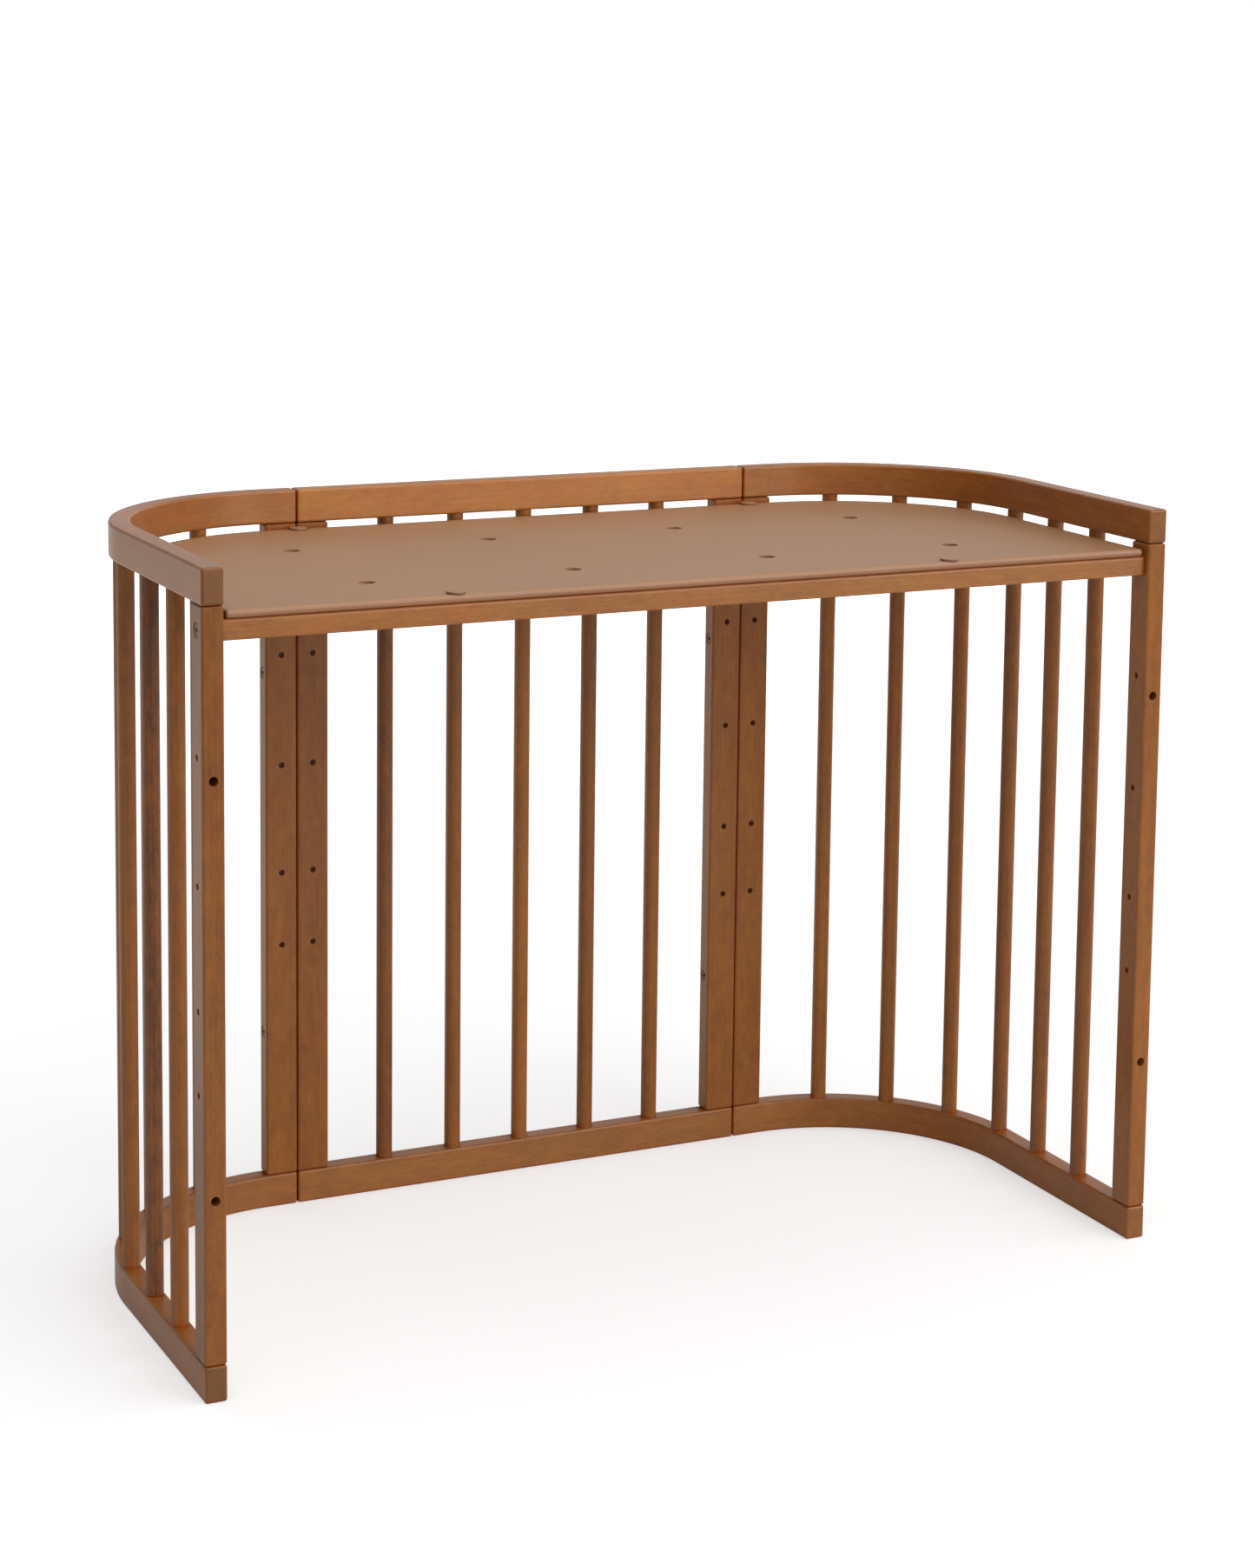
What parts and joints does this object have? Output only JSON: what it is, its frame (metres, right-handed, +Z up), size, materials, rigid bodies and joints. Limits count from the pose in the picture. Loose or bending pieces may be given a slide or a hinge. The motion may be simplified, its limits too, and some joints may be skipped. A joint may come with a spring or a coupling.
{
  "type": "playpen",
  "caption": "Open-front wooden playpen with rounded rear corners, round bars and a lift-off base board at table height.",
  "frame": {"origin": "middle of the footprint, on the floor", "axes": "+X along the width to the right seen from the open front, +Y from the open front to the back panel, +Z up"},
  "size_m": [1.064, 0.49, 0.8],
  "materials": {
    "stained_wood": "satin, medium brown stain over beech",
    "painted_board": "matte beige-brown lacquered board",
    "cap_plastic": "brown moulded plastic, polished",
    "bronzed_steel": "dark bronze plating"
  },
  "bodies": {
    "frame": {"back_bar_1": "stained_wood", "back_bar_2": "stained_wood", "back_bar_3": "stained_wood", "back_bar_4": "stained_wood", "back_bar_5": "stained_wood", "back_bottom_rail": "stained_wood", "back_stile_left": "stained_wood", "back_stile_right": "stained_wood", "back_top_rail": "stained_wood", "deck_bolt_back_left_inner": "bronzed_steel", "deck_bolt_back_left_outer": "bronzed_steel", "deck_bolt_back_right_inner": "bronzed_steel", "deck_bolt_back_right_outer": "bronzed_steel", "deck_bolt_post_left": "bronzed_steel", "deck_bolt_post_right": "bronzed_steel", "left_bar_1": "stained_wood", "left_bar_2": "stained_wood", "left_bar_3": "stained_wood", "left_bar_4": "stained_wood", "left_bar_5": "stained_wood", "left_bar_6": "stained_wood", "left_bottom_rail": "stained_wood", "left_front_post": "stained_wood", "left_rear_stile": "stained_wood", "left_top_rail": "stained_wood", "right_bar_1": "stained_wood", "right_bar_2": "stained_wood", "right_bar_3": "stained_wood", "right_bar_4": "stained_wood", "right_bar_5": "stained_wood", "right_bar_6": "stained_wood", "right_bottom_rail": "stained_wood", "right_front_post": "stained_wood", "right_rear_stile": "stained_wood", "right_top_rail": "stained_wood", "seam_bolt_left_lower": "bronzed_steel", "seam_bolt_left_upper": "bronzed_steel", "seam_bolt_right_lower": "bronzed_steel", "seam_bolt_right_upper": "bronzed_steel", "seam_nut_left_lower": "bronzed_steel", "seam_nut_left_upper": "bronzed_steel", "seam_nut_right_lower": "bronzed_steel", "seam_nut_right_upper": "bronzed_steel"},
    "deck": {"deck_bearer_left": "stained_wood", "deck_bearer_right": "stained_wood", "deck_board": "painted_board", "deck_cap_1": "cap_plastic", "deck_cap_2": "cap_plastic", "deck_cap_3": "cap_plastic", "deck_cap_4": "cap_plastic", "deck_front_batten": "stained_wood", "deck_rear_batten": "stained_wood", "deck_screw_1": "bronzed_steel", "deck_screw_2": "bronzed_steel", "deck_screw_3": "bronzed_steel", "deck_screw_4": "bronzed_steel"}
  },
  "joints": [
    {"name": "deck_lift", "type": "slide", "parent": "frame", "child": "deck", "axis": [0, 0, 1], "range_m": [0, 0.12]}
  ]
}
